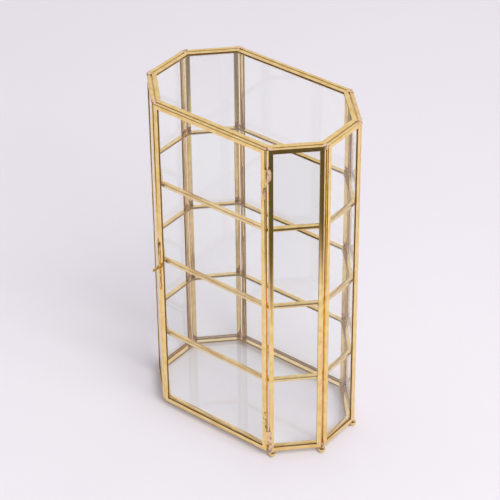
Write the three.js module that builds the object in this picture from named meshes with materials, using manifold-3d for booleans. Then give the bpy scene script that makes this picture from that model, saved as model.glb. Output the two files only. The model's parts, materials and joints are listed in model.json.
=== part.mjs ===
// An upright glass and brass display cabinet for jewellery. Its plan is a rectangle with cut corners.
// Seven wall panels, a door, a top, a base and three shelves are panes of glass, each set in a frame
// folded from brass channel. The frames are soldered edge to edge, and the front panel swings on two
// wire hinges. Millimetres, +Z up, the door faces -Y, and the origin is on the table, under the
// middle of the whole outline.

import * as THREE from 'three';
import { mergeVertices } from 'three/addons/utils/BufferGeometryUtils.js';
import Module from 'manifold-3d';

const wasm = await Module();
wasm.setup();

// Case
const CASE_WIDTH = 180;
const CASE_DEPTH = 112;
const CASE_HEIGHT = 300;
const CORNER_PANEL = 47; // width of the panel across each cut corner
const SHELVES = 3;

// Brass channel and the glass it holds
const CHANNEL = 3.2; // across the glass
const FACE = 4; // width of the channel's face
const SHEET = 0.4; // brass it is folded from
const GLASS = 2;
const GLASS_FIT = 0.2; // round the edge of a pane
const SEAM = 0.2; // between two soldered panels, halved on each side
const PLATE_FIT = 0.3; // from a wall or the door to a top, base or shelf

// Feet
const FOOT_RADIUS = 3.2;
const FOOT_FLAT = 1.2; // radius of the flat it stands on
const FOOT_INSET = 2; // from the corner of the case to the middle of the foot
const FOOT_SLIDE = 3.5; // of the foot by the lower hinge, along the corner panel

// Hinges: a wire pin on the door turns in a tube on the front right panel
const HINGE_STAND_OFF = 0.8; // from the corner of the case to the hinge axis
const TUBE_RADIUS = 1.25;
const TUBE_LENGTH = 14;
const PIN_WIRE = 1.2;
const PIN_FIT = 0.1; // radial clearance of the pin in its tube
const PIN_TO_STILE = 3; // height over which the pin steps across to the door
const PIN_LEG = 14; // length soldered to the door
const SADDLE_DEPTH = 1;
const SADDLE_REACH = 3.2;
const UPPER_TUBE_FOOT = 270; // underside of each tube, above the underside of the case
const LOWER_TUBE_FOOT = 10;

// Pull: a wire bent into a hairpin, its two ends soldered along the door's left stile
const PULL_WIRE = 1.6;
const PULL_PROJECTION = 7.8;
const PULL_HEIGHT = 143; // above the underside of the case
const PULL_LEG = 24;
const PULL_FROM_EDGE = 0.3; // from the door's left edge to the middle of the wire
const PULL_STRAND_GAP = 0.2;
const WIRE_TO_FACE = 0.1; // from a soldered wire to the channel under it

const WIRE_SIDES = 12;
const ROUND_SIDES = 16;

const brass = new THREE.MeshStandardMaterial({ color: '#cfa75c', roughness: 0.22, metalness: 1 });
const solderedBrass = new THREE.MeshStandardMaterial({ color: '#c9a27a', roughness: 0.4, metalness: 1 });
const glass = new THREE.MeshStandardMaterial({
  color: '#eef3f0',
  roughness: 0.03,
  metalness: 0,
  transparent: true,
  opacity: 0.2,
});

// Working sizes
const cornerCut = CORNER_PANEL / Math.SQRT2;
const frontWidth = CASE_WIDTH - 2 * cornerCut;
const sideWidth = CASE_DEPTH - 2 * cornerCut;
const mitre = CHANNEL * Math.tan(Math.PI / 8) + SEAM / 2; // from the case's corner to a panel's edge
const footHeight = FOOT_RADIUS + Math.sqrt(FOOT_RADIUS ** 2 - FOOT_FLAT ** 2);
const pitch = CASE_HEIGHT / (SHELVES + 1);

// The pull stands out at the front and the feet a little at the back, so the case is moved on Y to
// centre the whole outline.
const frontReach = PULL_PROJECTION + PULL_WIRE / 2;
const backReach = FOOT_RADIUS - FOOT_INSET * Math.cos(Math.PI / 8);
const caseShift = (frontReach - backReach) / 2;

// ---- solids

function solid(geometry) {
  const bare = geometry.index ? geometry.toNonIndexed() : geometry.clone();
  bare.deleteAttribute('normal');
  bare.deleteAttribute('uv');
  const merged = mergeVertices(bare, 1e-5);
  return new wasm.Manifold(new wasm.Mesh({
    numProp: 3,
    vertProperties: new Float32Array(merged.attributes.position.array),
    triVerts: new Uint32Array(merged.index.array),
  }));
}

function geometryOf(manifold) {
  const mesh = manifold.getMesh();
  const geometry = new THREE.BufferGeometry();
  geometry.setAttribute('position', new THREE.BufferAttribute(mesh.vertProperties, 3));
  geometry.setIndex(new THREE.BufferAttribute(mesh.triVerts, 1));
  const flat = geometry.toNonIndexed();
  flat.computeVertexNormals();
  return flat;
}

function prism(corners, low, high) {
  const geometry = new THREE.ExtrudeGeometry(new THREE.Shape(corners), {
    depth: high - low,
    bevelEnabled: false,
  });
  return geometry.translate(0, 0, low);
}

// ---- outlines, as corner points

function rectangle(width, height, inset) {
  const x = width / 2 - inset;
  const y = height / 2 - inset;
  return [[x, -y], [x, y], [-x, y], [-x, -y]].map(([px, py]) => new THREE.Vector2(px, py));
}

function octagon(width, depth, cut, inset) {
  const x = width / 2 - inset;
  const y = depth / 2 - inset;
  const c = cut - inset * (2 - Math.SQRT2);
  return [
    [x - c, -y], [x, -y + c], [x, y - c], [x - c, y],
    [-x + c, y], [-x, y - c], [-x, -y + c], [-x + c, -y],
  ].map(([px, py]) => new THREE.Vector2(px, py));
}

// ---- a pane and the channel folded round it, lying on z = 0

function channelFrame(outline) {
  const plate = solid(prism(outline(0), 0, CHANNEL));
  const sight = solid(prism(outline(FACE), -1, CHANNEL + 1));
  const slot = solid(prism(outline(SHEET), SHEET, CHANNEL - SHEET));
  return geometryOf(plate.subtract(sight).subtract(slot));
}

function pane(outline) {
  const low = (CHANNEL - GLASS) / 2;
  return prism(outline(SHEET + GLASS_FIT), low, low + GLASS);
}

// ---- round pieces

function rod(from, to, radius) {
  const geometry = new THREE.CylinderGeometry(radius, radius, from.distanceTo(to), WIRE_SIDES);
  const along = new THREE.Vector3().subVectors(to, from).normalize();
  const turn = new THREE.Quaternion().setFromUnitVectors(new THREE.Vector3(0, 1, 0), along);
  const middle = new THREE.Vector3().addVectors(from, to).multiplyScalar(0.5);
  return solid(geometry.applyQuaternion(turn).translate(middle.x, middle.y, middle.z));
}

function bentWire(points, diameter) {
  let wire = rod(points[0], points[1], diameter / 2);
  for (let i = 1; i < points.length - 1; i += 1) {
    const knee = new THREE.SphereGeometry(diameter / 2, WIRE_SIDES, WIRE_SIDES / 2);
    wire = wire.add(solid(knee.translate(points[i].x, points[i].y, points[i].z)));
    wire = wire.add(rod(points[i], points[i + 1], diameter / 2));
  }
  return geometryOf(wire);
}

function ballFoot() {
  const middle = footHeight - FOOT_RADIUS;
  const start = -Math.acos(FOOT_FLAT / FOOT_RADIUS);
  const steps = ROUND_SIDES / 2;
  const profile = [new THREE.Vector2(0, 0)];
  for (let i = 0; i < steps; i += 1) {
    const angle = start + (i / steps) * (Math.PI / 2 - start);
    profile.push(new THREE.Vector2(FOOT_RADIUS * Math.cos(angle), middle + FOOT_RADIUS * Math.sin(angle)));
  }
  profile[1].y = 0;
  profile.push(new THREE.Vector2(0, footHeight));
  return new THREE.LatheGeometry(profile, ROUND_SIDES).rotateX(Math.PI / 2);
}

// A tube with the block of solder that holds it to its panel. The axis is x = 0, y = 0, the panel's
// face lies in the plane y = standOff, and its edge is at x = edge.
function hingeTube(standOff, edge) {
  const barrel = rod(new THREE.Vector3(0, 0, 0), new THREE.Vector3(0, 0, TUBE_LENGTH), TUBE_RADIUS);
  const saddleBox = new THREE.BoxGeometry(edge + SADDLE_REACH, SADDLE_DEPTH, TUBE_LENGTH - 2);
  const saddle = solid(saddleBox.translate(
    (edge + SADDLE_REACH) / 2,
    standOff - WIRE_TO_FACE - SADDLE_DEPTH / 2,
    TUBE_LENGTH / 2,
  ));
  const boreRadius = PIN_WIRE / 2 + PIN_FIT;
  const bore = rod(new THREE.Vector3(0, 0, -1), new THREE.Vector3(0, 0, TUBE_LENGTH + 1), boreRadius);
  return geometryOf(barrel.add(saddle).subtract(bore));
}

// ---- the assembly

const cabinet = new THREE.Group();
const body = new THREE.Group();
body.position.set(0, caseShift, footHeight);
cabinet.add(body);

function add(parent, name, geometry, material) {
  const mesh = new THREE.Mesh(geometry, material.clone());
  mesh.name = name;
  parent.add(mesh);
  return mesh;
}

// Top, base and shelves share one outline, which fits inside the walls.
const plateWidth = CASE_WIDTH - 2 * (CHANNEL + PLATE_FIT);
const plateDepth = CASE_DEPTH - 2 * (CHANNEL + PLATE_FIT);
const plateCut = cornerCut - (CHANNEL + PLATE_FIT) * (2 - Math.SQRT2);
const plateOutline = (inset) => octagon(plateWidth, plateDepth, plateCut, inset);

function addPlate(name, height) {
  const plate = new THREE.Group();
  plate.position.z = height;
  add(plate, `${name}_frame`, channelFrame(plateOutline), brass);
  add(plate, `${name}_glass`, pane(plateOutline), glass);
  body.add(plate);
}

addPlate('base', 0);
for (let i = 1; i <= SHELVES; i += 1) addPlate(`shelf_${i}`, i * pitch - CHANNEL);
addPlate('top', CASE_HEIGHT - CHANNEL);

// An upright panel has its outer face on y = 0, looking towards -Y before it is turned into place.
function addPanel(parent, name, outsideWidth) {
  const outline = (inset) => rectangle(outsideWidth - 2 * mitre, CASE_HEIGHT, inset);
  const frame = channelFrame(outline);
  const sheet = pane(outline);
  for (const geometry of [frame, sheet]) {
    geometry.translate(0, CASE_HEIGHT / 2, -CHANNEL).rotateX(Math.PI / 2);
  }
  add(parent, `${name}_frame`, frame, brass);
  add(parent, `${name}_glass`, sheet, glass);
}

const sideX = (CASE_WIDTH - cornerCut) / 2;
const sideY = (CASE_DEPTH - cornerCut) / 2;
const walls = [
  { name: 'wall_front_right', turn: 1, x: sideX, y: -sideY, width: CORNER_PANEL },
  { name: 'wall_right', turn: 2, x: CASE_WIDTH / 2, y: 0, width: sideWidth },
  { name: 'wall_back_right', turn: 3, x: sideX, y: sideY, width: CORNER_PANEL },
  { name: 'wall_back', turn: 4, x: 0, y: CASE_DEPTH / 2, width: frontWidth },
  { name: 'wall_back_left', turn: 5, x: -sideX, y: sideY, width: CORNER_PANEL },
  { name: 'wall_left', turn: 6, x: -CASE_WIDTH / 2, y: 0, width: sideWidth },
  { name: 'wall_front_left', turn: 7, x: -sideX, y: -sideY, width: CORNER_PANEL },
];

for (const wall of walls) {
  const panel = new THREE.Group();
  panel.position.set(wall.x, wall.y, 0);
  panel.rotation.z = (wall.turn * Math.PI) / 4;
  addPanel(panel, wall.name, wall.width);
  body.add(panel);
}

// Feet, soldered under six of the corners: the two on the pull's side have none. The foot beside the
// lower hinge is moved along the corner panel.
const corners = octagon(CASE_WIDTH, CASE_DEPTH, cornerCut, 0);
const feet = [
  { name: 'front_right_inner', slide: FOOT_SLIDE },
  { name: 'front_right_outer', slide: 0 },
  { name: 'back_right_outer', slide: 0 },
  { name: 'back_right_inner', slide: 0 },
  { name: 'back_left_inner', slide: 0 },
  { name: 'back_left_outer', slide: 0 },
];

feet.forEach(({ name, slide }, i) => {
  const toLast = corners[(i + 7) % 8].clone().sub(corners[i]).normalize();
  const toNext = corners[i + 1].clone().sub(corners[i]).normalize();
  const inward = toLast.add(toNext).normalize();
  const place = corners[i].clone().addScaledVector(inward, FOOT_INSET).addScaledVector(toNext, slide);
  const foot = add(body, `foot_${name}`, ballFoot(), brass);
  foot.position.set(place.x, place.y, -footHeight);
});

// Hinge axis, just outside the corner between the door and the front right panel
const hingeSide = corners[0];
const outward = new THREE.Vector2(Math.sin(Math.PI / 8), -Math.cos(Math.PI / 8));
const hinge = hingeSide.clone().add(outward.multiplyScalar(HINGE_STAND_OFF));
const standOff = HINGE_STAND_OFF * Math.cos(Math.PI / 8); // from the axis to the panel's face
const edge = mitre + HINGE_STAND_OFF * Math.sin(Math.PI / 8); // from the axis to the panel's edge

function addHingeTube(name, height) {
  const tube = add(body, name, hingeTube(standOff, edge), solderedBrass);
  tube.position.set(hinge.x, hinge.y, height);
  tube.rotation.z = Math.PI / 4;
}

addHingeTube('hinge_tube_upper', UPPER_TUBE_FOOT);
addHingeTube('hinge_tube_lower', LOWER_TUBE_FOOT);

// The door and what is soldered to it, about the hinge axis
const door = new THREE.Group();
door.position.set(hinge.x, hinge.y, 0);
body.add(door);

const doorPanel = new THREE.Group();
doorPanel.position.set(-hinge.x, -CASE_DEPTH / 2 - hinge.y, 0);
addPanel(doorPanel, 'door', frontWidth);
door.add(doorPanel);

const pinFace = standOff - WIRE_TO_FACE - PIN_WIRE / 2;
const pinSide = -(edge + FACE / 4);

function hingePin(tubeEnd, intoTube) {
  const inside = tubeEnd + intoTube * TUBE_LENGTH * 0.8;
  const step = tubeEnd - intoTube;
  const side = step - intoTube * PIN_TO_STILE;
  const end = side - intoTube * PIN_LEG;
  return bentWire([
    new THREE.Vector3(0, 0, inside),
    new THREE.Vector3(0, 0, step),
    new THREE.Vector3(pinSide, pinFace, side),
    new THREE.Vector3(pinSide, pinFace, end),
  ], PIN_WIRE);
}

add(door, 'hinge_pin_upper', hingePin(UPPER_TUBE_FOOT, 1), brass);
add(door, 'hinge_pin_lower', hingePin(LOWER_TUBE_FOOT + TUBE_LENGTH, -1), brass);

const strand = (PULL_WIRE + PULL_STRAND_GAP) / 2;
const pullTip = -PULL_PROJECTION;
const pullRoot = -WIRE_TO_FACE - PULL_WIRE / 2;
const pull = bentWire([
  new THREE.Vector3(0, pullRoot, PULL_LEG),
  new THREE.Vector3(0, pullRoot, strand),
  new THREE.Vector3(0, pullTip, strand),
  new THREE.Vector3(0, pullTip, -strand),
  new THREE.Vector3(0, pullRoot, -strand),
  new THREE.Vector3(0, pullRoot, -PULL_LEG),
], PULL_WIRE);
add(doorPanel, 'door_pull', pull, brass)
  .position.set(-frontWidth / 2 + mitre + PULL_FROM_EDGE, 0, PULL_HEIGHT);

export default cabinet;
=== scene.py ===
import json
import math

import bmesh
import bpy
from mathutils import Matrix, Vector, noise


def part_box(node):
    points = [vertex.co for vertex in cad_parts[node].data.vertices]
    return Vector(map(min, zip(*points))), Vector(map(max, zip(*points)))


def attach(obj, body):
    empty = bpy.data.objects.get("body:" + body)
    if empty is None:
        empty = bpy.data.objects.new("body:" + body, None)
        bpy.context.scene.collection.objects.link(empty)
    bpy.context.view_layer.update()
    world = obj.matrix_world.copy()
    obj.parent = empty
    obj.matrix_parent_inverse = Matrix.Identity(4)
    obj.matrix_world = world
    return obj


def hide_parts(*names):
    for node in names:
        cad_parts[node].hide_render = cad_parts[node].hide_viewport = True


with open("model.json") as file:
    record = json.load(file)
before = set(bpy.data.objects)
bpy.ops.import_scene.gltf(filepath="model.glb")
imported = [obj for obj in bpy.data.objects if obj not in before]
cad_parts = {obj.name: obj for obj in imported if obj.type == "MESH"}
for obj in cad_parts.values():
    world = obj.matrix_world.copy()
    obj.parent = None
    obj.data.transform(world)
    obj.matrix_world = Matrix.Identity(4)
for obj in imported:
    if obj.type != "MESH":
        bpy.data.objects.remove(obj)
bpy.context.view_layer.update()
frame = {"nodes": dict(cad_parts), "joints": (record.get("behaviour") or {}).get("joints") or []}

# ---- Camera
# It stands well off to the right of the door, a little above, and looks down through a long lens.
# It aims beside the middle of the case, which is found from the frames of its outer walls.
MM = 0.001
AZIMUTH = math.radians(38.34)
ELEVATION = math.radians(35.5)
ROLL = math.radians(-0.56)
DISTANCE = 1767.3 * MM
AIM_RIGHT = -3.2 * MM
AIM_UP = 1.3 * MM
LENS = 153.9
NEAREST = 0.1
FARTHEST = 20

case_low = Vector((
    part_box("wall_left_frame")[0].x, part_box("door_frame")[0].y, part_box("base_frame")[0].z,
))
case_high = Vector((
    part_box("wall_right_frame")[1].x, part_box("wall_back_frame")[1].y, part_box("top_frame")[1].z,
))
case_middle = (case_low + case_high) / 2

turn = (
    Matrix.Rotation(AZIMUTH, 4, "Z")
    @ Matrix.Rotation(math.pi / 2 - ELEVATION, 4, "X")
    @ Matrix.Rotation(ROLL, 4, "Z")
)
camera = bpy.data.objects.new("camera", bpy.data.cameras.new("camera"))
bpy.context.scene.collection.objects.link(camera)
stand_off = Matrix.Translation((AIM_RIGHT, AIM_UP, DISTANCE))
camera.matrix_world = Matrix.Translation(case_middle) @ turn @ stand_off
camera.data.lens = LENS
camera.data.clip_start = NEAREST
camera.data.clip_end = FARTHEST
bpy.context.scene.camera = camera


# ---- Table
# A sheet of matt white board with a faint lilac cast, wide enough to fill every view. It isn't
# part of the cabinet.
FLOOR_SIZE = 6.0
TONE_WIDTH = 167 * MM


def srgb(code):
    """The linear colour of an sRGB hex code."""
    parts = [int(code[i : i + 2], 16) / 255 for i in (1, 3, 5)]
    return [p / 12.92 if p <= 0.04045 else ((p + 0.055) / 1.055) ** 2.4 for p in parts] + [1.0]


def material(name):
    """An empty node material, and its tree."""
    made = bpy.data.materials.new(name)
    made.use_nodes = True
    made.node_tree.nodes.clear()
    return made, made.node_tree


def add_node(tree, kind, inputs=None, **settings):
    """A node with its settings, and each input either set to a value or linked to a socket."""
    made = tree.nodes.new(kind)
    for key, value in settings.items():
        setattr(made, key, value)
    for key, value in (inputs or {}).items():
        if isinstance(value, bpy.types.NodeSocket):
            tree.links.new(value, made.inputs[key])
        else:
            made.inputs[key].default_value = value
    return made


def new_piece(name, bm, finish):
    """An object at the origin, with the bmesh as its mesh and one material."""
    mesh = bpy.data.meshes.new(name)
    bm.to_mesh(mesh)
    bm.free()
    mesh.materials.append(finish)
    made = bpy.data.objects.new(name, mesh)
    bpy.context.scene.collection.objects.link(made)
    return made


# Painted board: matt, with a tooth too fine to see and a barely uneven tone.
board, tree = material("matt_painted_board")
place = add_node(tree, "ShaderNodeTexCoord").outputs["Object"]
tone = add_node(tree, "ShaderNodeTexNoise", {"Vector": place, "Scale": 1 / TONE_WIDTH, "Detail": 3.0})
shade = add_node(tree, "ShaderNodeValToRGB", {"Fac": tone.outputs["Fac"]})
shade.color_ramp.elements[0].color = srgb("#DAD5DA")
shade.color_ramp.elements[1].color = srgb("#DEDADE")
surface = add_node(tree, "ShaderNodeBsdfPrincipled", {
    "Base Color": shade.outputs["Color"],
    "Roughness": 0.8,
    "Specular IOR Level": 0.2,
})
add_node(tree, "ShaderNodeOutputMaterial", {"Surface": surface.outputs[0]})

bm = bmesh.new()
bmesh.ops.create_grid(bm, x_segments=1, y_segments=1, size=FLOOR_SIZE / 2)
new_piece("table", bm, board)


# ---- Studio
# A pale room, brightest overhead and behind the cabinet and dim in front of it. One wide soft light,
# high on the right, reaches matt surfaces only. A glowing sheet in front is a painted reflection of dark
# surroundings, lit like the table at its near edge, and it shows only in reflections.
ROOM_BRIGHT = Vector((-0.2, 0.6, 0.77))
ROOM_TONES = ((0.0, "#706E74"), (0.25, "#85838A"), (0.6, "#DAD8DE"), (1.0, "#EDEBF2"))
KEY_POWER = 255
KEY_SIZE = 4.0
KEY_FROM = Vector((3.0, -1.2, 3.5))
# Painted reflection colours of the glowing sheet: its lit near edge, and the dark beyond it.
FLAG_PAINTED_LIT_EDGE = "#E6E2E4"
FLAG_PAINTED_DARK = "#625C52"
FLAG_START = 0.29
FLAG_FADE = 0.06
FLAG_SIZE = (0.5, 2.0)
FLAG_RISE = math.radians(50)
FLAG_TOWARDS = math.radians(46)
FLAG_LIFT = 2 * MM

room = bpy.data.worlds.new("room")
room.use_nodes = True
room.node_tree.nodes.clear()
heading = add_node(room.node_tree, "ShaderNodeTexCoord").outputs["Generated"]
facing = add_node(
    room.node_tree, "ShaderNodeVectorMath", {0: heading, 1: ROOM_BRIGHT}, operation="DOT_PRODUCT",
)
tones = add_node(room.node_tree, "ShaderNodeValToRGB", {"Fac": facing.outputs["Value"]})
tones.color_ramp.elements.remove(tones.color_ramp.elements[0])
for k, (position, code) in enumerate(ROOM_TONES):
    stop = tones.color_ramp.elements[0] if k == 0 else tones.color_ramp.elements.new(position)
    stop.position = position
    stop.color = srgb(code)
glow = add_node(room.node_tree, "ShaderNodeBackground", {"Color": tones.outputs["Color"]})
add_node(room.node_tree, "ShaderNodeOutputWorld", {"Surface": glow.outputs[0]})
bpy.context.scene.world = room
bpy.context.scene.view_settings.view_transform = "Standard"

key = bpy.data.objects.new("key_light", bpy.data.lights.new("key_light", "AREA"))
bpy.context.scene.collection.objects.link(key)
key.data.shape = "DISK"
key.data.size = KEY_SIZE
key.data.energy = KEY_POWER
key.location = KEY_FROM
key.visible_glossy = False
key.visible_transmission = False
key.rotation_mode = "QUATERNION"
key.rotation_quaternion = (KEY_FROM - case_middle).to_track_quat("Z", "Y")

# Painted reflection: a glowing sheet, as bright as the table along its near edge and dim beyond, and seen
# only by a ray that has been reflected.
cloth, tree = material("painted_reflection_sheet")
place = add_node(tree, "ShaderNodeTexCoord").outputs["UV"]
reach = add_node(tree, "ShaderNodeSeparateXYZ", {0: place}).outputs["Y"]
fade = add_node(tree, "ShaderNodeValToRGB", {"Fac": reach})
fade.color_ramp.elements[0].color = srgb(FLAG_PAINTED_LIT_EDGE)
fade.color_ramp.elements[1].color = srgb(FLAG_PAINTED_DARK)
fade.color_ramp.elements[1].position = FLAG_FADE / FLAG_SIZE[1]
dim = add_node(tree, "ShaderNodeEmission", {"Color": fade.outputs["Color"]})
clear = add_node(tree, "ShaderNodeBsdfTransparent")
reflected = add_node(tree, "ShaderNodeLightPath").outputs["Glossy Depth"]
seen = add_node(tree, "ShaderNodeMixShader", {0: reflected, 1: clear.outputs[0], 2: dim.outputs[0]})
add_node(tree, "ShaderNodeOutputMaterial", {"Surface": seen.outputs[0]})

bm = bmesh.new()
bmesh.ops.create_grid(bm, x_segments=1, y_segments=1, size=0.5)
reflection_sheet_map = bm.loops.layers.uv.new("cloth")
for loop in bm.faces[:][0].loops:
    loop[reflection_sheet_map].uv = (loop.vert.co.x + 0.5, 0.5 - loop.vert.co.y)
bmesh.ops.scale(bm, vec=(*FLAG_SIZE, 1), verts=bm.verts)
bmesh.ops.translate(bm, vec=(0, -FLAG_SIZE[1] / 2, 0), verts=bm.verts)
bmesh.ops.rotate(bm, matrix=Matrix.Rotation(-FLAG_RISE, 3, "X"), verts=bm.verts)
bmesh.ops.translate(bm, vec=(0, -FLAG_START, FLAG_LIFT), verts=bm.verts)
bmesh.ops.rotate(bm, matrix=Matrix.Rotation(FLAG_TOWARDS, 3, "Z"), verts=bm.verts)
painted_reflection_flag = new_piece("painted_reflection_flag", bm, cloth)
painted_reflection_flag.visible_camera = False
painted_reflection_flag.visible_diffuse = False
painted_reflection_flag.visible_shadow = False


# ---- Brass channel frames
# Each pane sits in a frame of U-shaped channel, folded from 0.4 mm brass and bent at the corners.
# The folds are round outside, and the lips of the channel stand up round the edge of the glass.
FACE = 4.0 * MM
SHEET = 0.4 * MM
FOLD_RADIUS = 0.85 * MM
FOLD_STEPS = 4
LIP_RADIUS = 0.1 * MM
LIP_STEPS = 2
SHARP = math.radians(38)
SEAM = 0.2 * MM

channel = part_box("door_frame")[1].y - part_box("door_frame")[0].y
mitre = channel * math.tan(math.pi / 8) + SEAM / 2
door_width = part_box("door_frame")[1].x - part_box("door_frame")[0].x
corner_cut = (case_high.x - case_low.x - door_width) / 2 - mitre

# Rolled brass under clear lacquer: warm and bright, with lines along the strip from rolling and
# folding, a slight unevenness that makes reflections waver, and darker patches where it was heated.
LINE_LENGTH = 25 * MM
LINE_WIDTH = 0.25 * MM
WAVE_WIDTH = 11.1 * MM
PATCH_WIDTH = 6.25 * MM
brass, tree = material("lacquered_rolled_brass")
strip = add_node(tree, "ShaderNodeUVMap", uv_map="strip").outputs["UV"]
place = add_node(tree, "ShaderNodeTexCoord").outputs["Object"]
along = add_node(tree, "ShaderNodeMapping", {"Vector": strip, "Scale": (1 / LINE_LENGTH, 1 / LINE_WIDTH, 1)})
lines = add_node(tree, "ShaderNodeTexNoise", {"Vector": along.outputs[0], "Scale": 1.0, "Detail": 2.0})
waver = add_node(tree, "ShaderNodeTexNoise", {"Vector": place, "Scale": 1 / WAVE_WIDTH, "Detail": 1.0})
mottle = add_node(tree, "ShaderNodeTexNoise", {"Vector": place, "Scale": 1 / PATCH_WIDTH, "Detail": 4.0})
tint = add_node(tree, "ShaderNodeValToRGB", {"Fac": mottle.outputs["Fac"]})
tint.color_ramp.elements[0].position = 0.35
tint.color_ramp.elements[0].color = srgb("#F0CB80")
tint.color_ramp.elements[1].position = 0.6
tint.color_ramp.elements[1].color = srgb("#FADD9A")
gloss = add_node(tree, "ShaderNodeMapRange", {
    "Value": mottle.outputs["Fac"], "From Min": 0.3, "From Max": 0.7, "To Min": 0.17, "To Max": 0.1,
})
wave = add_node(tree, "ShaderNodeBump", {
    "Height": waver.outputs["Fac"], "Distance": 0.03 * MM, "Strength": 0.5,
})
scratch = add_node(tree, "ShaderNodeBump", {
    "Height": lines.outputs["Fac"], "Distance": 0.004 * MM, "Strength": 0.5, "Normal": wave.outputs[0],
})
surface = add_node(tree, "ShaderNodeBsdfPrincipled", {
    "Base Color": tint.outputs["Color"],
    "Metallic": 1.0,
    "Roughness": gloss.outputs[0],
    "Normal": scratch.outputs[0],
})
add_node(tree, "ShaderNodeOutputMaterial", {"Surface": surface.outputs[0]})

# Inside of the channel: never polished, stained brown by flux and dust, so it edges the glass darkly.
STAIN_WIDTH = 3.33 * MM
stained, tree = material("stained_unpolished_brass")
place = add_node(tree, "ShaderNodeTexCoord").outputs["Object"]
stain = add_node(tree, "ShaderNodeTexNoise", {"Vector": place, "Scale": 1 / STAIN_WIDTH, "Detail": 3.0})
tint = add_node(tree, "ShaderNodeValToRGB", {"Fac": stain.outputs["Fac"]})
tint.color_ramp.elements[0].position = 0.3
tint.color_ramp.elements[0].color = srgb("#7E5420")
tint.color_ramp.elements[1].position = 0.7
tint.color_ramp.elements[1].color = srgb("#AC7832")
surface = add_node(tree, "ShaderNodeBsdfPrincipled", {
    "Base Color": tint.outputs["Color"],
    "Metallic": 0.35,
    "Roughness": 0.5,
})
add_node(tree, "ShaderNodeOutputMaterial", {"Surface": surface.outputs[0]})


def channel_frame(node, width, height, cut, place, body):
    """A frame of channel with the given outline, bent from one strip, standing for a CAD node."""
    bm = bmesh.new()
    bmesh.ops.create_grid(bm, x_segments=1, y_segments=1, size=0.5)
    bmesh.ops.scale(bm, vec=(width, height, 1), verts=bm.verts)
    if cut:
        for x, y in ((1, 1), (1, -1), (-1, 1), (-1, -1)):
            bmesh.ops.bisect_plane(
                bm, geom=bm.verts[:] + bm.edges[:] + bm.faces[:], clear_outer=True,
                plane_co=(x * (width / 2 - cut), y * height / 2, 0), plane_no=(x, y, 0),
            )
    sides = []
    for edge in bm.edges:
        middle = (edge.verts[0].co + edge.verts[1].co) / 2
        run = (edge.verts[1].co - edge.verts[0].co).normalized()
        out = run.cross(Vector((0, 0, 1)))
        out = out if out.dot(middle) > 0 else -out
        sides.append((out, out.dot(middle), run))

    # The outline is inset by a face's width. The ring that is left is raised into a hollow band, and
    # its inner wall is taken away, which leaves the channel.
    band = bmesh.ops.inset_region(
        bm, faces=bm.faces[:], thickness=FACE, use_even_offset=True, use_boundary=True,
    )["faces"]
    bmesh.ops.delete(bm, geom=[f for f in bm.faces if f not in band], context="FACES_ONLY")
    raised = bmesh.ops.extrude_face_region(bm, geom=bm.faces[:])["geom"]
    lifted = [v for v in raised if isinstance(v, bmesh.types.BMVert)]
    bmesh.ops.translate(bm, vec=(0, 0, channel), verts=lifted)

    def side_of(face):
        middle = face.calc_center_median()
        return max(sides, key=lambda side: side[0].dot(middle) - side[1])

    def is_sight(face):
        out, reach, _ = side_of(face)
        return abs(face.normal.z) < 0.5 and reach - out.dot(face.calc_center_median()) > FACE / 2

    bm.normal_update()
    bmesh.ops.delete(bm, geom=[f for f in bm.faces if is_sight(f)], context="FACES_ONLY")
    bmesh.ops.recalc_face_normals(bm, faces=bm.faces)
    web = next(f for f in bm.faces if abs(f.normal.z) < 0.5)
    if web.normal.dot(side_of(web)[0]) < 0:
        bmesh.ops.reverse_faces(bm, faces=bm.faces[:])
    folds = [e for e in bm.edges if len(e.link_faces) == 2 and e.calc_face_angle() > SHARP]
    bmesh.ops.bevel(
        bm, geom=folds, offset=FOLD_RADIUS, segments=FOLD_STEPS, profile=0.5, affect="EDGES", material=-1,
    )

    # The map runs along each side of the strip and round its section, in metres.
    strip = bm.loops.layers.uv.new("strip")
    for face in bm.faces:
        face.smooth = True
        run = side_of(face)[2]
        across = face.normal.cross(run)
        for loop in face.loops:
            loop[strip].uv = (loop.vert.co.dot(run), loop.vert.co.dot(across))

    bmesh.ops.translate(bm, vec=(0, 0, -channel / 2), verts=bm.verts)
    bmesh.ops.transform(bm, matrix=place, verts=bm.verts)
    made = new_piece(node.replace("_frame", "_channel"), bm, brass)
    made.data.materials.append(stained)
    wall = made.modifiers.new("sheet", "SOLIDIFY")
    wall.thickness = SHEET
    wall.offset = -1
    wall.use_even_offset = True
    wall.material_offset = 1
    lips = made.modifiers.new("lips", "BEVEL")
    lips.width = LIP_RADIUS
    lips.segments = LIP_STEPS
    lips.limit_method = "ANGLE"
    lips.angle_limit = SHARP
    lips.harden_normals = True
    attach(made, body)
    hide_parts(node)
    return made


def middle_of(node):
    """The middle of a CAD node's box."""
    low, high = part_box(node)
    return (low + high) / 2


# Upright panels, in order round the case from the door. Every second one stands across a corner.
PANELS = ("door", "wall_front_right", "wall_right", "wall_back_right",
          "wall_back", "wall_back_left", "wall_left", "wall_front_left")
for i, panel in enumerate(PANELS):
    node = panel + "_frame"
    low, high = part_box(node)
    size = high - low
    width = size.x * math.sqrt(2) - channel if i % 2 else max(size.x, size.y)
    stand = (
        Matrix.Translation(middle_of(node))
        @ Matrix.Rotation(i * math.pi / 4, 4, "Z")
        @ Matrix.Rotation(math.pi / 2, 4, "X")
    )
    channel_frame(node, width, size.z, 0, stand, "door" if panel == "door" else "cabinet")

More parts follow.
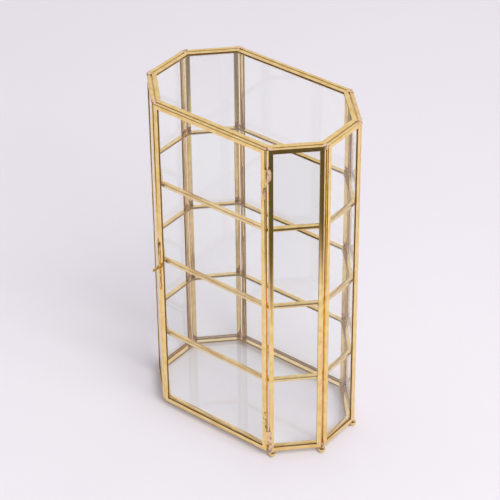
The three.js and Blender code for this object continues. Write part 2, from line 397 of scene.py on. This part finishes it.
# Top, base and shelves share one outline, the case's own, drawn in by the thickness of the walls.
# Each is eased a little further from the walls, so that the gap shows as a dark line.
PLATES = ("base", "shelf_1", "shelf_2", "shelf_3", "top")
PLATE_EASE = 0.25 * MM
for plate in PLATES:
    node = plate + "_frame"
    low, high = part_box(node)
    size = high - low - Vector((2, 2, 0)) * PLATE_EASE
    drawn_in = (case_high.x - case_low.x - size.x) / 2
    cut = corner_cut - drawn_in * (2 - math.sqrt(2))
    channel_frame(node, size.x, size.y, cut, Matrix.Translation(middle_of(node)), "cabinet")


# ---- Glass
# Panes of plain 2 mm float glass, cut to the shape of each frame. The channel is folded round the
# pane's edge and soldered shut, so its lips hold the pane for good.
#
# Float glass: clear, with the faint green that iron gives it, and almost flat.
RIPPLE_WIDTH = 40 * MM
glass, tree = material("clear_float_glass")
place = add_node(tree, "ShaderNodeTexCoord").outputs["Object"]
ripple = add_node(tree, "ShaderNodeTexNoise", {"Vector": place, "Scale": 1 / RIPPLE_WIDTH, "Detail": 1.0})
flatness = add_node(tree, "ShaderNodeBump", {
    "Height": ripple.outputs["Fac"], "Distance": 0.1 * MM, "Strength": 0.2,
})
surface = add_node(tree, "ShaderNodeBsdfPrincipled", {
    "Base Color": srgb("#FEFFFE"),
    "Roughness": 0.0,
    "IOR": 1.46,
    "Transmission Weight": 1.0,
    "Normal": flatness.outputs[0],
})
add_node(tree, "ShaderNodeOutputMaterial", {"Surface": surface.outputs[0]})

for name in PANELS + PLATES:
    pane = frame["nodes"][name + "_glass"]
    pane.data.materials.clear()
    pane.data.materials.append(glass)
    pane.visible_shadow = False
    pane.visible_diffuse = False


# ---- Solder
# Soft solder run into the groove at each corner and over the ends of the channels, and a bead where
# each shelf meets a post. On the two corners beside the door it stays on the fixed side.
RUN_GRAIN = 0.28 * MM
RUN_UNEVEN = 0.2 * MM
RUN_SWELL = 2.2 * MM
RUN_SEED = 7
noise.seed_set(RUN_SEED)

# Coppered soft solder: pale, pinkish and satin, browner where flux has burnt on to it.
BURN_WIDTH = 2.38 * MM
solder, tree = material("coppered_soft_solder")
place = add_node(tree, "ShaderNodeTexCoord").outputs["Object"]
burn = add_node(tree, "ShaderNodeTexNoise", {"Vector": place, "Scale": 1 / BURN_WIDTH, "Detail": 3.0})
tint = add_node(tree, "ShaderNodeValToRGB", {"Fac": burn.outputs["Fac"]})
tint.color_ramp.elements[0].position = 0.34
tint.color_ramp.elements[0].color = srgb("#96704A")
tint.color_ramp.elements[1].position = 0.52
tint.color_ramp.elements[1].color = srgb("#EAC7A6")
pitted = add_node(tree, "ShaderNodeBump", {
    "Height": burn.outputs["Fac"], "Distance": 0.08 * MM, "Strength": 0.4,
})
surface = add_node(tree, "ShaderNodeBsdfPrincipled", {
    "Base Color": tint.outputs["Color"],
    "Metallic": 0.55,
    "Roughness": 0.4,
    "Normal": pitted.outputs[0],
})
add_node(tree, "ShaderNodeOutputMaterial", {"Surface": surface.outputs[0]})


def solder_run(name, lumps, body):
    """Solder that has run together. Each lump is a frame, its middle in it and half sizes, in mm."""
    bm = bmesh.new()
    for where, middle, half in lumps:
        place = where @ Matrix.Translation(Vector(middle) * MM)
        squash = Matrix.Diagonal((*(Vector(half) * MM), 1))
        bmesh.ops.create_icosphere(bm, subdivisions=3, radius=1, matrix=place @ squash)
    for vert in bm.verts:
        vert.co += noise.noise_vector(vert.co / RUN_SWELL) * RUN_UNEVEN
    bmesh.ops.recalc_face_normals(bm, faces=bm.faces)
    made = new_piece(name, bm, solder)
    skin = made.modifiers.new("skin", "REMESH")
    skin.mode = "VOXEL"
    skin.voxel_size = RUN_GRAIN
    skin.use_smooth_shade = True
    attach(made, body)
    return made


# The corners of the case, from the hinge side of the door and round to its pull side. In a corner's
# frame X points out of the case and Y runs round it, and a lean turns it square to a panel beside it.
LEAN = math.pi / 8
half_x = (case_high.x - case_low.x) / 2
half_y = (case_high.y - case_low.y) / 2
CORNERS = (
    (half_x - corner_cut, -half_y), (half_x, corner_cut - half_y),
    (half_x, half_y - corner_cut), (half_x - corner_cut, half_y),
    (corner_cut - half_x, half_y), (-half_x, half_y - corner_cut),
    (-half_x, corner_cut - half_y), (corner_cut - half_x, -half_y),
)


def corner_frame(i, lean=0.0):
    """The frame of a corner at the height of the case's underside, turned by the lean."""
    x, y = CORNERS[i]
    return (
        Matrix.Translation((case_middle.x + x, case_middle.y + y, case_low.z))
        @ Matrix.Rotation((2 * i - 3) * LEAN + lean, 4, "Z")
    )


top_mm = (case_high.z - case_low.z) / MM
shelf_tops = [(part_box(plate + "_frame")[1].z - case_low.z) / MM for plate in PLATES[1:4]]
base_top = (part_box("base_frame")[1].z - case_low.z) / MM

CORNER_NAMES = ("front_right_inner", "front_right_outer", "back_right_outer", "back_right_inner",
                "back_left_inner", "back_left_outer", "front_left_outer", "front_left_inner")
for i, corner in enumerate(CORNER_NAMES):
    if i in (0, 7):
        side = 1 if i == 0 else -1
        where = corner_frame(i, side * LEAN)
        # Beside the door: on top, on the base, and at each shelf
        lumps = [
            (where, (-2.4, side * 3.2, top_mm - 0.1), (2.4, 2.4, 0.6)),
            (where, (-3.6, side * 3.4, base_top), (1.3, 1.6, 0.8)),
        ]
        lumps += [(where, (-3.6, side * 3.8, z), (1.0, 1.4, 0.8)) for z in shelf_tops]
    else:
        where = corner_frame(i)
        # Down the groove from the top, across the top with an arm each way, up the groove from
        # below, on the base, and at each shelf
        lumps = [
            (where, (-1.6, 0, top_mm - 1.8), (1.6, 1.6, 2.4)),
            (where, (-2.6, 0, top_mm - 0.1), (2.7, 1.9, 0.5)),
            (where, (-2.2, 1.9, top_mm - 0.1), (1.4, 2.3, 0.45)),
            (where, (-2.2, -1.9, top_mm - 0.1), (1.4, 2.3, 0.45)),
            (where, (-1.7, 0, 1.8), (1.4, 1.3, 2.2)),
            (where, (-4.2, 0, base_top), (1.5, 1.8, 0.9)),
        ]
        lumps += [(where, (-4.0, 0, z), (1.1, 1.5, 0.9)) for z in shelf_tops]
    solder_run("solder_" + corner, lumps, "cabinet")

# What is on the door itself: over the top and under the foot of each stile
door_lumps = []
for i, side in ((0, -1), (7, 1)):
    where = corner_frame(i, side * LEAN)
    door_lumps.append((where, (-1.5, side * 2.4, top_mm - 0.1), (1.4, 1.3, 0.55)))
    door_lumps.append((where, (-1.5, side * 2.4, 0.3), (1.3, 1.0, 0.5)))
solder_run("solder_door", door_lumps, "door")


# ---- Feet
# Turned brass balls, worn flat where they stand. Each is held under a corner of the base by a collar
# of solder, and the two corners on the pull's side have none.
BALL_SEGMENTS = 32
BALL_RINGS = 20

# Polished brass wire and balls: the same alloy as the channel, drawn or turned, so brighter.
TARNISH_WIDTH = 2 * MM
bright_brass, tree = material("drawn_and_turned_brass")
place = add_node(tree, "ShaderNodeTexCoord").outputs["Object"]
mottle = add_node(tree, "ShaderNodeTexNoise", {"Vector": place, "Scale": 1 / TARNISH_WIDTH, "Detail": 3.0})
tint = add_node(tree, "ShaderNodeValToRGB", {"Fac": mottle.outputs["Fac"]})
tint.color_ramp.elements[0].position = 0.3
tint.color_ramp.elements[0].color = srgb("#E6BE74")
tint.color_ramp.elements[1].position = 0.6
tint.color_ramp.elements[1].color = srgb("#F6DC9C")
draw_marks = add_node(tree, "ShaderNodeBump", {
    "Height": mottle.outputs["Fac"], "Distance": 0.03 * MM, "Strength": 0.4,
})
surface = add_node(tree, "ShaderNodeBsdfPrincipled", {
    "Base Color": tint.outputs["Color"],
    "Metallic": 1.0,
    "Roughness": 0.16,
    "Normal": draw_marks.outputs[0],
})
add_node(tree, "ShaderNodeOutputMaterial", {"Surface": surface.outputs[0]})

for corner in CORNER_NAMES[:6]:
    node = "foot_" + corner
    low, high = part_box(node)
    radius = (high.x - low.x) / 2
    ball_middle = Vector(((low.x + high.x) / 2, (low.y + high.y) / 2, high.z - radius))
    bm = bmesh.new()
    bmesh.ops.create_uvsphere(
        bm, u_segments=BALL_SEGMENTS, v_segments=BALL_RINGS, radius=radius,
        matrix=Matrix.Translation(ball_middle),
    )
    bmesh.ops.bisect_plane(
        bm, geom=bm.verts[:] + bm.edges[:] + bm.faces[:], clear_inner=True,
        plane_co=(0, 0, low.z), plane_no=(0, 0, 1),
    )
    bmesh.ops.holes_fill(bm, edges=bm.edges[:], sides=BALL_SEGMENTS)
    for face in bm.faces:
        face.smooth = len(face.verts) < BALL_SEGMENTS
    ball = new_piece("ball_" + corner, bm, bright_brass)
    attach(ball, "cabinet")
    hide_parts(node)
    collar_place = Matrix.Translation((ball_middle.x, ball_middle.y, high.z))
    solder_run("solder_foot_" + corner, [(collar_place, (0, 0, -0.5), (2.1, 2.1, 0.9))], "cabinet")


# ---- Hinge tubes
# Two short lengths of brass tube, soldered along the edge of the corner panel beside the door. The
# solder is smeared over the tube and the channel, and on the lower one it has run down to the foot.
TUBE_BORE = 0.7 * MM
TUBE_RIM = 0.15 * MM
TUBE_STEPS = 32

axis = Vector(frame["joints"][0]["pos_m"])
tube_radius = (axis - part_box("hinge_tube_upper")[0]).x
on_corner_panel = corner_frame(0, LEAN)
for level in ("upper", "lower"):
    node = "hinge_tube_" + level
    low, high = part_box(node)
    bm = bmesh.new()
    section = [bm.verts.new((axis.x + x, axis.y, z)) for x, z in (
        (TUBE_BORE, low.z), (tube_radius, low.z), (tube_radius, high.z), (TUBE_BORE, high.z),
    )]
    rim = [bm.edges.new((section[k], section[(k + 1) % 4])) for k in range(4)]
    bmesh.ops.spin(
        bm, geom=section + rim, cent=axis, axis=(0, 0, 1), angle=math.tau, steps=TUBE_STEPS,
        use_merge=True,
    )
    bmesh.ops.recalc_face_normals(bm, faces=bm.faces)
    rims = [e for e in bm.edges if len(e.link_faces) == 2 and e.calc_face_angle() > SHARP]
    bmesh.ops.bevel(bm, geom=rims, offset=TUBE_RIM, segments=2, profile=0.5, affect="EDGES", material=-1)
    for face in bm.faces:
        face.smooth = True
    tube = new_piece("tube_" + level, bm, bright_brass)
    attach(tube, "cabinet")
    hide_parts(node)
    foot_mm = (low.z - case_low.z) / MM
    head_mm = (high.z - case_low.z) / MM
    # Round the foot and the head of the tube, and smeared along the channel beside it
    lumps = [
        (on_corner_panel, (0.95, 0.3, foot_mm + 4.3), (1.15, 1.5, 3.8)),
        (on_corner_panel, (0.9, 0.5, head_mm - 4.0), (1.1, 1.6, 3.4)),
        (on_corner_panel, (0.15, 2.4, foot_mm + 7.0), (0.5, 1.5, 6.0)),
    ]
    if level == "lower":
        # Run down the stile, and pooled over the ball foot
        lumps.append((on_corner_panel, (0.1, 3.0, foot_mm / 2), (0.55, 1.7, foot_mm / 2 + 4)))
        lumps.append((on_corner_panel, (-0.6, 3.6, 0.3), (1.2, 2.4, 0.9)))
    solder_run("solder_tube_" + level, lumps, "cabinet")


# ---- Hinge pins
# Brass wire, bent twice. One end turns in the tube, and the other is soldered to the door's stile.
WIRE_SIDES = 16
BEND_STEPS = 6
PIN_RADIUS = 0.6 * MM
PIN_BEND = 1.0 * MM
PIN_STEP = 1.0 * MM
PIN_CROSS = 3.0 * MM
PIN_BARE = 0.8 * MM


def wire(name, points, radius, bend, node):
    """Wire bent round a former at each point between its ends, which are snipped and eased."""
    bm = bmesh.new()
    heading = (points[1] - points[0]).normalized()
    turned = heading.to_track_quat("Z", "Y").to_matrix().to_4x4()
    bmesh.ops.create_circle(
        bm, segments=WIRE_SIDES, radius=radius, matrix=Matrix.Translation(points[0]) @ turned,
    )
    ring = bm.edges[:]
    here = points[0]
    for i, point in enumerate(points[1:], start=1):
        heading = (point - points[i - 1]).normalized()
        last = i == len(points) - 1
        after = heading if last else (points[i + 1] - point).normalized()
        angle = 0 if last else heading.angle(after)
        setback = bend * math.tan(angle / 2)
        there = point - heading * setback
        drawn = bmesh.ops.extrude_edge_only(bm, edges=ring)["geom"]
        tip = [v for v in drawn if isinstance(v, bmesh.types.BMVert)]
        bmesh.ops.translate(bm, vec=there - here, verts=tip)
        ring = [e for e in drawn if isinstance(e, bmesh.types.BMEdge) and set(e.verts) <= set(tip)]
        if not last:
            pivot = heading.cross(after).normalized()
            bent = bmesh.ops.spin(
                bm, geom=tip + ring, cent=there + pivot.cross(heading) * bend, axis=pivot,
                angle=angle, steps=BEND_STEPS,
            )["geom_last"]
            ring = [e for e in bent if isinstance(e, bmesh.types.BMEdge)]
            here = point + after * setback
    bmesh.ops.holes_fill(bm, edges=bm.edges[:], sides=WIRE_SIDES)
    bmesh.ops.remove_doubles(bm, verts=bm.verts[:], dist=0.001 * MM)
    bmesh.ops.recalc_face_normals(bm, faces=bm.faces)
    ends = [e for e in bm.edges if any(len(f.verts) == WIRE_SIDES for f in e.link_faces)]
    bmesh.ops.bevel(
        bm, geom=ends, offset=radius / 3, segments=2, profile=0.5, affect="EDGES", material=-1,
    )
    for face in bm.faces:
        face.smooth = True
    made = new_piece(name, bm, bright_brass)
    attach(made, "door")
    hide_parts(node)
    return made


on_door = corner_frame(0, -LEAN)
for level, way in (("upper", 1), ("lower", -1)):
    node = "hinge_pin_" + level
    low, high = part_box(node)
    tube_low, tube_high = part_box("hinge_tube_" + level)
    tube_end = tube_low.z if way > 0 else tube_high.z
    inside = high.z if way > 0 else low.z
    far = low.z if way > 0 else high.z
    step = tube_end - way * PIN_STEP
    cross = step - way * PIN_CROSS
    leg_x = low.x + PIN_RADIUS
    leg_y = high.y - PIN_RADIUS
    pin_points = [
        Vector((axis.x, axis.y, inside)), Vector((axis.x, axis.y, step)),
        Vector((leg_x, leg_y, cross)), Vector((leg_x, leg_y, far)),
    ]
    wire("pin_" + level, pin_points, PIN_RADIUS, PIN_BEND, node)
    leg_middle = ((far + cross) / 2 - case_low.z) / MM
    leg_half = (abs(far - cross) / 2 - PIN_BARE) / MM
    pin_lumps = [(on_door, (0.15, -2.5, leg_middle), (0.7, 1.5, leg_half))]
    solder_run("solder_pin_" + level, pin_lumps, "door")


# ---- Pull
# Brass wire, thicker than the pins, doubled back to make a stub to hold. Its two ends turn up and
# down the door's stile and are soldered along it.
low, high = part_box("door_pull")
radius = (high.x - low.x) / 2
middle = (low + high) / 2
root = high.y - radius
tip = low.y + radius
strand = radius + SEAM / 2
pull_points = [
    Vector((middle.x, root, high.z)), Vector((middle.x, root, middle.z + strand)),
    Vector((middle.x, tip, middle.z + strand)), Vector((middle.x, tip, middle.z - strand)),
    Vector((middle.x, root, middle.z - strand)), Vector((middle.x, root, low.z)),
]
wire("pull", pull_points, radius, strand, "door_pull")
pull_place = Matrix.Translation((middle.x, high.y, case_low.z))
pull_z = (middle.z - case_low.z) / MM
pull_reach = (high.z - low.z) / 2 / MM
pull_lumps = [
    (pull_place, (-0.1, -0.3, pull_z + side * (pull_reach - below)), (1.4, 0.8, 5.5))
    for side in (1, -1)
    for below in (6.5, 14)
]
solder_run("solder_pull", pull_lumps, "door")
